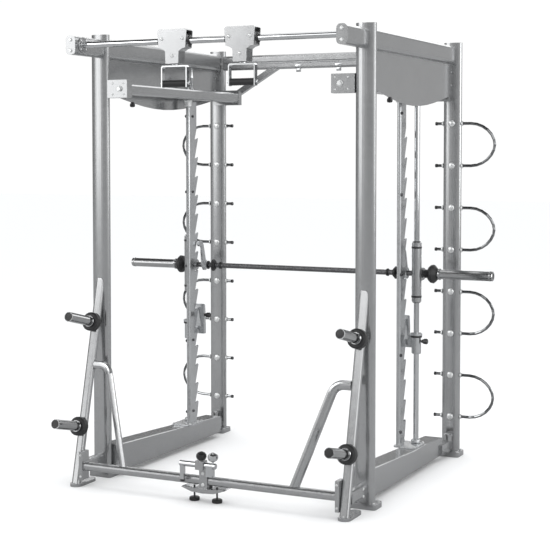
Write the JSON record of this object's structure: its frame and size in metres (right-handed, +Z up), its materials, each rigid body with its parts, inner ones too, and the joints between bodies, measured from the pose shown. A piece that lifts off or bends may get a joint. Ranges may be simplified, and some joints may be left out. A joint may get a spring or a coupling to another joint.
{
  "type": "smith machine",
  "caption": "Barbell frame with a guided bar on chrome rods, toothed catch racks, plate horns, band loops and sliding pull-up grips.",
  "frame": {"origin": "floor level, centre of the bounding box of the footprint", "axes": "+Z up, +X along the bar to the right seen from the front, +Y from the front (storage horns and pull-up bar) to the rear (band loops)"},
  "size_m": [2.147, 1.7092, 2.25],
  "materials": {
    "frame_paint": "satin silver grey paint",
    "chrome": "polished chrome",
    "rack_steel": "brushed, zinc plated",
    "black_rubber": "matt black rubber",
    "black_plastic": "gloss black"
  },
  "bodies": {
    "frame": {"upright_front_left": "frame_paint", "upright_front_right": "frame_paint", "upright_rear_left": "frame_paint", "upright_rear_right": "frame_paint", "base_beam_left": "frame_paint", "base_beam_right": "frame_paint", "top_beam_left": "frame_paint", "top_beam_right": "frame_paint", "pullup_arm_left": "frame_paint", "pullup_arm_right": "frame_paint", "side_panel_left": "frame_paint", "side_panel_right": "frame_paint", "guide_beam_left": "frame_paint", "guide_beam_right": "frame_paint", "front_leg_left": "frame_paint", "front_leg_right": "frame_paint", "gusset_left": "frame_paint", "gusset_right": "frame_paint", "rear_crossbeam": "frame_paint", "front_crossbar": "frame_paint", "clamp_body": "frame_paint", "guide_rod_left": "chrome", "catch_rack_left": "rack_steel", "storage_horn_upper_left": "chrome", "horn_bumper_upper_left": "black_rubber", "storage_horn_lower_left": "chrome", "horn_bumper_lower_left": "black_rubber", "loop_rack_left": "chrome", "guide_rod_right": "chrome", "catch_rack_right": "rack_steel", "storage_horn_upper_right": "chrome", "horn_bumper_upper_right": "black_rubber", "storage_horn_lower_right": "chrome", "horn_bumper_lower_right": "black_rubber", "loop_rack_right": "chrome", "pullup_bar": "chrome"},
    "carriage": {"carriage_left": "frame_paint", "carriage_right": "frame_paint"},
    "bar": {"bar": "chrome", "bar_hook_left": "rack_steel", "bar_hook_right": "rack_steel", "bar_collar_left": "black_rubber", "bar_collar_right": "black_rubber"},
    "sleeve_left": {"bar_sleeve_left": "chrome"},
    "sleeve_right": {"bar_sleeve_right": "chrome"},
    "stop_left": {"stop_left": "rack_steel"},
    "stop_right": {"stop_right": "rack_steel"},
    "pin_left": {"stop_pin_left": "black_plastic"},
    "pin_right": {"stop_pin_right": "black_plastic"},
    "trolley_left": {"trolley_left": "frame_paint"},
    "trolley_right": {"trolley_right": "frame_paint"},
    "stirrup_left": {"stirrup_left": "chrome"},
    "stirrup_right": {"stirrup_right": "chrome"},
    "grip_left": {"grip_left": "black_rubber"},
    "grip_right": {"grip_right": "black_rubber"},
    "clamp_arm": {"clamp_arm": "chrome"},
    "clamp_knob": {"clamp_knob": "black_plastic"},
    "foot_left": {"clamp_foot_left": "black_rubber"},
    "foot_right": {"clamp_foot_right": "black_rubber"}
  },
  "joints": [
    {"name": "bar_slide", "type": "slide", "parent": "frame", "child": "carriage", "axis": [0, 0, 1], "range_m": [-0.155, 0.735]},
    {"name": "bar_twist", "type": "hinge", "parent": "carriage", "child": "bar", "pos_m": [0, 0.43162, 1.026], "axis": [1, 0, 0], "range_deg": [-40, 0]},
    {"name": "sleeve_spin_left", "type": "hinge", "parent": "bar", "child": "sleeve_left", "pos_m": [-0.92, 0.43162, 1.026], "axis": [1, 0, 0], "continuous": true},
    {"name": "sleeve_spin_right", "type": "hinge", "parent": "bar", "child": "sleeve_right", "pos_m": [0.92, 0.43162, 1.026], "axis": [1, 0, 0], "continuous": true},
    {"name": "stop_slide_left", "type": "slide", "parent": "frame", "child": "stop_left", "axis": [0, 0, 1], "range_m": [-0.4, 0]},
    {"name": "pin_pull_left", "type": "slide", "parent": "stop_left", "child": "pin_left", "axis": [1, 0, 0], "range_m": [0, 0.012], "stiffness_N_per_m": 400, "springref_m": -0.004},
    {"name": "stop_slide_right", "type": "slide", "parent": "frame", "child": "stop_right", "axis": [0, 0, 1], "range_m": [-0.4, 0]},
    {"name": "pin_pull_right", "type": "slide", "parent": "stop_right", "child": "pin_right", "axis": [1, 0, 0], "range_m": [0, 0.012], "stiffness_N_per_m": 400, "springref_m": -0.004},
    {"name": "trolley_slide_left", "type": "slide", "parent": "frame", "child": "trolley_left", "axis": [1, 0, 0], "range_m": [-0.4, 0.08]},
    {"name": "stirrup_swivel_left", "type": "hinge", "parent": "trolley_left", "child": "stirrup_left", "pos_m": [-0.168, -0.63938, 2.07], "axis": [0, 0, 1], "continuous": true},
    {"name": "grip_spin_left", "type": "hinge", "parent": "stirrup_left", "child": "grip_left", "pos_m": [-0.168, -0.63938, 1.983], "axis": [1, 0, 0], "continuous": true},
    {"name": "trolley_slide_right", "type": "slide", "parent": "frame", "child": "trolley_right", "axis": [1, 0, 0], "range_m": [-0.08, 0.4]},
    {"name": "stirrup_swivel_right", "type": "hinge", "parent": "trolley_right", "child": "stirrup_right", "pos_m": [0.192, -0.63938, 2.07], "axis": [0, 0, 1], "continuous": true},
    {"name": "grip_spin_right", "type": "hinge", "parent": "stirrup_right", "child": "grip_right", "pos_m": [0.192, -0.63938, 1.983], "axis": [1, 0, 0], "continuous": true},
    {"name": "clamp_arm_slide", "type": "slide", "parent": "frame", "child": "clamp_arm", "axis": [1, 0, 0], "range_m": [-0.01, 0.06]},
    {"name": "clamp_knob_turn", "type": "hinge", "parent": "frame", "child": "clamp_knob", "pos_m": [0.004, -0.70268, 0.21], "axis": [0, 0, 1], "continuous": true},
    {"name": "clamp_foot_turn_left", "type": "hinge", "parent": "frame", "child": "foot_left", "pos_m": [-0.061, -0.65338, 0.02], "axis": [0, 0, 1], "continuous": true},
    {"name": "clamp_foot_turn_right", "type": "hinge", "parent": "frame", "child": "foot_right", "pos_m": [0.061, -0.65338, 0.02], "axis": [0, 0, 1], "continuous": true}
  ]
}
